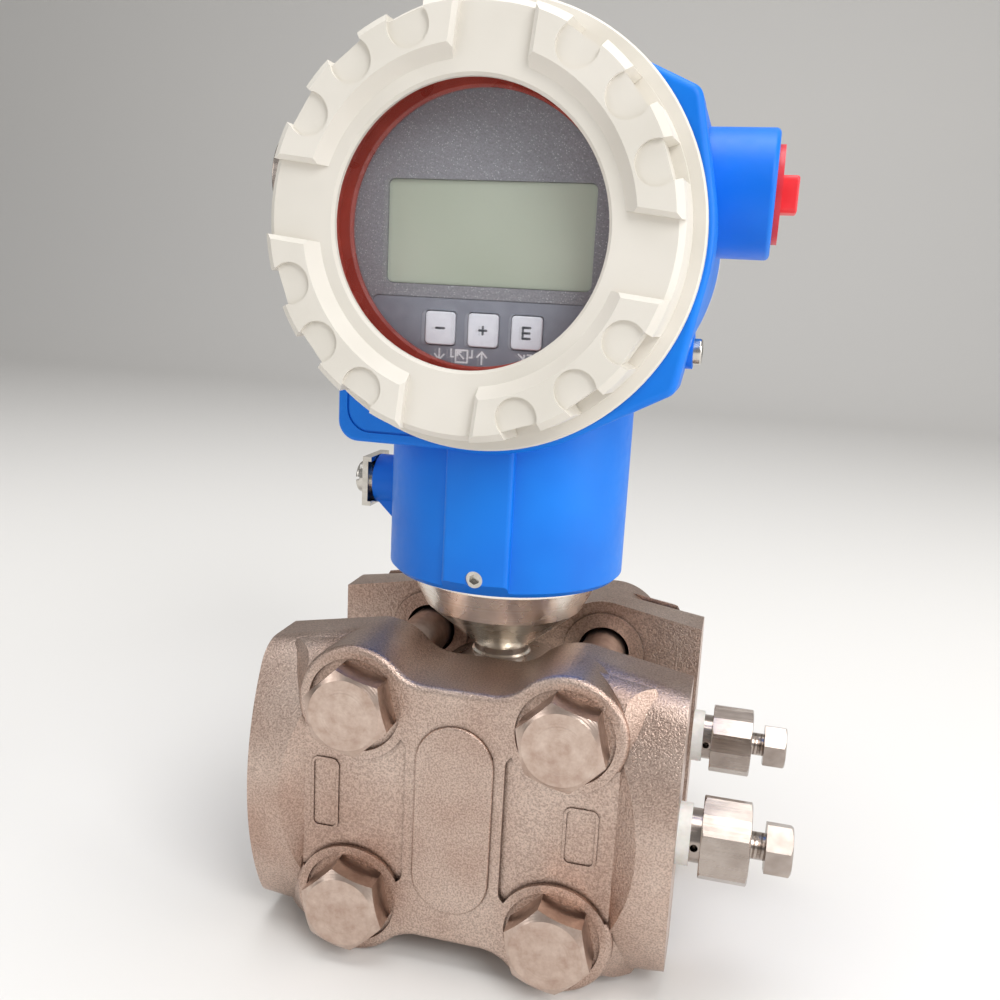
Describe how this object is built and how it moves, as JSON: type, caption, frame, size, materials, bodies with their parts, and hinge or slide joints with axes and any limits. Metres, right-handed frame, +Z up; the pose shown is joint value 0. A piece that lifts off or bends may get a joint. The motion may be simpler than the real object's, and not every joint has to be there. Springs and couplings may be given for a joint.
{
  "type": "differential pressure transmitter",
  "caption": "Differential pressure transmitter: clamped process flanges with vent valves under a two-chamber housing with a display cover that screws off.",
  "frame": {"origin": "centre of the process mounting pattern, on the left end face of the two flanges", "axes": "+X runs along the flanges to the vent valves, +Y runs to the rear, +Z is up along the neck"},
  "size_m": [0.1351, 0.1026, 0.2151],
  "materials": {
    "cast_stainless": "bead-blasted cast stainless steel",
    "turned_stainless": "turned stainless steel",
    "bolt_steel": "forged stainless steel with faced heads",
    "bright_steel": "polished stainless steel",
    "blue_paint": "satin blue powder coat on die-cast aluminium",
    "cream_paint": "satin cream powder coat on die-cast aluminium",
    "red_silicone": "moulded silicone",
    "black_rubber": "moulded nitrile rubber",
    "ptfe": "white PTFE",
    "window_glass": "clear toughened glass",
    "lcd_glass": "grey-green liquid crystal display",
    "dark_moulding": "grained dark grey moulding",
    "key_film": "printed satin film",
    "key_cap": "moulded pale grey key",
    "circuit_board": "solder-masked glass-epoxy board",
    "black_moulding": "black moulding",
    "brass_nickel": "nickel-plated brass",
    "red_plastic": "red moulded polyethylene"
  },
  "bodies": {
    "process": {"front_flange": "cast_stainless", "rear_flange": "cast_stainless", "clamp_bolts": "bolt_steel", "clamp_nuts": "bolt_steel", "cell_body": "turned_stainless", "isolating_diaphragms": "bright_steel", "cell_seals": "ptfe", "neck_adapter": "turned_stainless", "neck_seal": "black_rubber", "vent_body_front": "turned_stainless", "vent_body_rear": "turned_stainless", "vent_thread_tape": "ptfe"},
    "vent_front_ball": {"vent_ball_front": "bright_steel"},
    "vent_front_screw": {"vent_screw_front": "turned_stainless"},
    "vent_rear_ball": {"vent_ball_rear": "bright_steel"},
    "vent_rear_screw": {"vent_screw_rear": "turned_stainless"},
    "housing": {"housing": "blue_paint", "housing_set_screw": "bright_steel", "cover_lock_screw": "bright_steel", "ground_washer": "bright_steel", "ground_clamp": "bright_steel", "ground_screw": "bright_steel", "display_frame": "dark_moulding", "lcd_panel": "lcd_glass", "lcd_spacers": "black_moulding", "key_panel": "key_film", "key_domes": "black_rubber", "display_board": "circuit_board", "electronics_module": "black_moulding", "module_screws": "bright_steel", "terminal_block": "black_moulding", "terminal_screws": "brass_nickel", "blanking_plug": "bolt_steel", "plug_washer": "black_rubber"},
    "front_seal": {"front_cover_seal": "black_rubber"},
    "front_cover": {"display_cover": "cream_paint", "window_glass": "window_glass", "window_gasket": "red_silicone", "window_retainer": "dark_moulding"},
    "rear_seal": {"rear_cover_seal": "black_rubber"},
    "rear_cover": {"rear_cover": "cream_paint"},
    "minus_key": {"key_minus": "key_cap"},
    "plus_key": {"key_plus": "key_cap"},
    "enter_key": {"key_enter": "key_cap"},
    "transit_plug": {"transit_plug": "red_plastic"}
  },
  "joints": [
    {"name": "housing_turn", "type": "hinge", "parent": "process", "child": "housing", "pos_m": [0.05, 0, 0.06], "axis": [0, 0, 1], "range_deg": [-180, 180]},
    {"name": "vent_front_lift", "type": "slide", "parent": "process", "child": "vent_front_ball", "axis": [1, 0, 0], "range_m": [0, 0.00125]},
    {"name": "vent_front_turn", "type": "hinge", "parent": "vent_front_ball", "child": "vent_front_screw", "pos_m": [0.115, -0.027, 0], "axis": [1, 0, 0], "range_deg": [0, 450]},
    {"name": "vent_rear_lift", "type": "slide", "parent": "process", "child": "vent_rear_ball", "axis": [1, 0, 0], "range_m": [0, 0.00125]},
    {"name": "vent_rear_turn", "type": "hinge", "parent": "vent_rear_ball", "child": "vent_rear_screw", "pos_m": [0.115, 0.027, 0], "axis": [1, 0, 0], "range_deg": [0, 450]},
    {"name": "front_cover_travel", "type": "slide", "parent": "housing", "child": "front_seal", "axis": [0, -1, 0], "range_m": [0, 0.012]},
    {"name": "front_cover_turn", "type": "hinge", "parent": "front_seal", "child": "front_cover", "pos_m": [0.05, -0.04, 0.1303], "axis": [0, -1, 0], "range_deg": [0, 2160]},
    {"name": "rear_cover_travel", "type": "slide", "parent": "housing", "child": "rear_seal", "axis": [0, 1, 0], "range_m": [0, 0.012]},
    {"name": "rear_cover_turn", "type": "hinge", "parent": "rear_seal", "child": "rear_cover", "pos_m": [0.05, 0.04, 0.1303], "axis": [0, 1, 0], "range_deg": [0, 2160]},
    {"name": "minus_press", "type": "slide", "parent": "housing", "child": "minus_key", "axis": [0, 1, 0], "range_m": [0, 0.0004], "stiffness_N_per_m": 3000, "springref_m": -0.0002},
    {"name": "plus_press", "type": "slide", "parent": "housing", "child": "plus_key", "axis": [0, 1, 0], "range_m": [0, 0.0004], "stiffness_N_per_m": 3000, "springref_m": -0.0002},
    {"name": "enter_press", "type": "slide", "parent": "housing", "child": "enter_key", "axis": [0, 1, 0], "range_m": [0, 0.0004], "stiffness_N_per_m": 3000, "springref_m": -0.0002},
    {"name": "transit_plug_pull", "type": "slide", "parent": "housing", "child": "transit_plug", "axis": [1, 0, 0], "range_m": [0, 0.014]}
  ],
  "couplings": [
    {"joint": "vent_front_lift", "follows": "vent_front_turn", "m_per_rad": 0.00015915},
    {"joint": "vent_rear_lift", "follows": "vent_rear_turn", "m_per_rad": 0.00015915},
    {"joint": "front_cover_travel", "follows": "front_cover_turn", "m_per_rad": 0.00031831},
    {"joint": "rear_cover_travel", "follows": "rear_cover_turn", "m_per_rad": 0.00031831}
  ]
}
